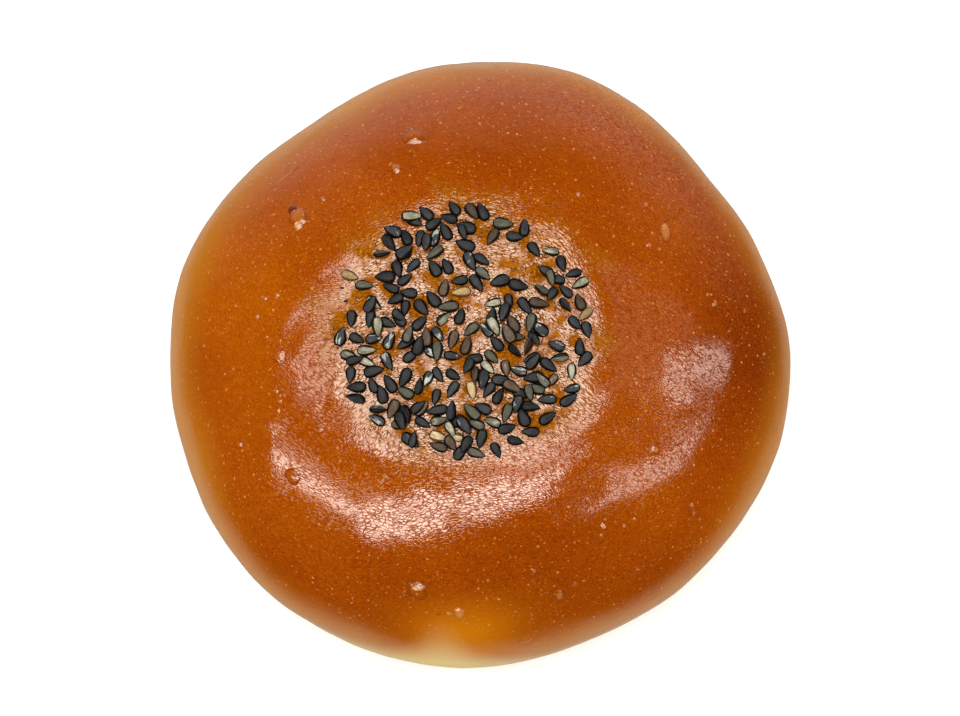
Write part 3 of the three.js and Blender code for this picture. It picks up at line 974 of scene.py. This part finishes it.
# The light: a broad panel and some narrow ones round it on the ceiling, in a softly lit room.
# Each panel hangs flat: its place, right and back of the bun, and its size are in heights of the ceiling.
# The room's walls are pale, and the glaze mirrors the floor, the back wall and the panels.
CEILING = 3.0  # in metres
LAMP_COLOUR = (1, 0.91, 0.78)
LAMPS = [  # name, right, back, length, width, heading in degrees, and brightness
    ("overhead", -0.08, 0.16, 0.77, 0.86, 0, 4.6),
    ("overhead_right", 0.3, -0.2, 0.36, 0.22, 0, 3.2),
    ("front_left", -1.06, -0.72, 0.95, 0.48, -25, 5.2),
    ("front", -0.42, -0.77, 0.64, 0.25, 22, 6.0),
    ("front_near", 0.06, -0.53, 0.58, 0.18, 10, 5.9),
    ("front_right", 1.25, -0.62, 1.3, 0.45, 8, 2.4),
    ("right", 1.9, 0.05, 1.72, 0.33, 0, 3.1),
    ("right_wide", 0.85, 0.25, 0.7, 0.7, 0, 0.25),
    ("left", -0.56, 0.28, 0.75, 0.42, 50, 2.1),
]


def hang_lamp(name, right, back, length, width, heading, brightness):
    """A flat lamp that shines straight down."""
    lamp = bpy.data.lights.new(name, "AREA")
    lamp.shape = "RECTANGLE"
    lamp.size = CEILING * length
    lamp.size_y = CEILING * width
    lamp.energy = brightness * math.pi * lamp.size * lamp.size_y
    lamp.color = LAMP_COLOUR
    made = bpy.data.objects.new(name, lamp)
    made.location = CEILING * Vector((right, back, 1))
    made.rotation_euler = (0, 0, math.radians(heading))
    made.visible_camera = False
    bpy.context.scene.collection.objects.link(made)


for panel in LAMPS:
    hang_lamp(*panel)

ROOM_COLOUR = (1, 1, 1, 1)
ROOM_SEEN = 0.9  # brightness of the room's far walls as the camera sees them
ROOM_SOFT = 0.43  # as they light the bun from above
LOW_WALLS = (0.6, 4.5)  # and as they light its side from in front and from behind
LOW_WALL_TOP = (0.55, 0.15)  # directions up between which the low walls end
ROOM_MIRRORED = 0.005  # brightness of the walls as the gloss mirrors them
BACK_WALL = 0.4  # of the wall behind the bun
BACK_WALL_SIDES = (0.4, 0.95)  # directions to the back between which it begins
BACK_WALL_TOP = (0.62, 0.0)
FLOOR_MIRRORED = 0.44  # and of the floor, at the bun's rim
FLOOR_FROM = (-0.42, -0.92)
room = bpy.data.worlds.new("room")
room.use_nodes = True
bpy.context.scene.world = room
sky = room.node_tree
rays = add_node(sky, "ShaderNodeLightPath").outputs
away = add_node(sky, "ShaderNodeTexCoord").outputs["Generated"]
away = add_node(sky, "ShaderNodeSeparateXYZ", {0: away}).outputs
behind = mapped(sky, away["Y"], *BACK_WALL_SIDES, high=BACK_WALL, interpolation_type="SMOOTHSTEP")
mirrored = sum_of(sky, "MULTIPLY_ADD", behind, mapped(sky, away["Z"], *BACK_WALL_TOP), ROOM_MIRRORED)
below = mapped(sky, away["Z"], *FLOOR_FROM, high=FLOOR_MIRRORED, interpolation_type="SMOOTHSTEP")
mirrored = sum_of(sky, "ADD", mirrored, below)
low_walls = mapped(sky, away["Y"], -1.0, 1.0, *LOW_WALLS)
soft = sum_of(sky, "MULTIPLY_ADD", low_walls, mapped(sky, away["Z"], *LOW_WALL_TOP), ROOM_SOFT)
unseen = mapped(sky, rays["Is Diffuse Ray"], 0.0, 1.0, mirrored, soft)
glow = sky.nodes["Background"].inputs
glow["Color"].default_value = ROOM_COLOUR
sky.links.new(mapped(sky, rays["Is Camera Ray"], 0.0, 1.0, unseen, ROOM_SEEN), glow["Strength"])
bpy.context.scene.view_settings.view_transform = "Standard"

# The camera: almost overhead, leaning a little to the front, with a long lens.
# It is aimed at the middle of the dough, and then moved a hair's breadth right and up in the picture.
CAMERA_ELEVATION = math.radians(78)
CAMERA_DISTANCE = 420.0
CAMERA_AIM = np.array([*DOUGH_MIDDLE, 14.0])
CAMERA_NUDGE = 0.42  # to the right and up in the picture
FOCAL_LENGTH = 97.65
SENSOR_WIDTH = 36.0
NEAREST_SEEN = 0.01  # in metres
camera = bpy.data.objects.new("camera", bpy.data.cameras.new("camera"))
camera.data.sensor_width = SENSOR_WIDTH
camera.data.lens = FOCAL_LENGTH
camera.data.clip_start = NEAREST_SEEN
picture_right = np.array([1, 0, 0])
picture_up = np.array([0, math.sin(CAMERA_ELEVATION), math.cos(CAMERA_ELEVATION)])
picture_out = np.array([0, -math.cos(CAMERA_ELEVATION), math.sin(CAMERA_ELEVATION)])
camera_place = CAMERA_AIM + CAMERA_NUDGE * (picture_right + picture_up) + CAMERA_DISTANCE * picture_out
camera.location = camera_place * MM
camera.rotation_euler = (math.pi / 2 - CAMERA_ELEVATION, 0, 0)
bpy.context.scene.collection.objects.link(camera)
bpy.context.scene.camera = camera
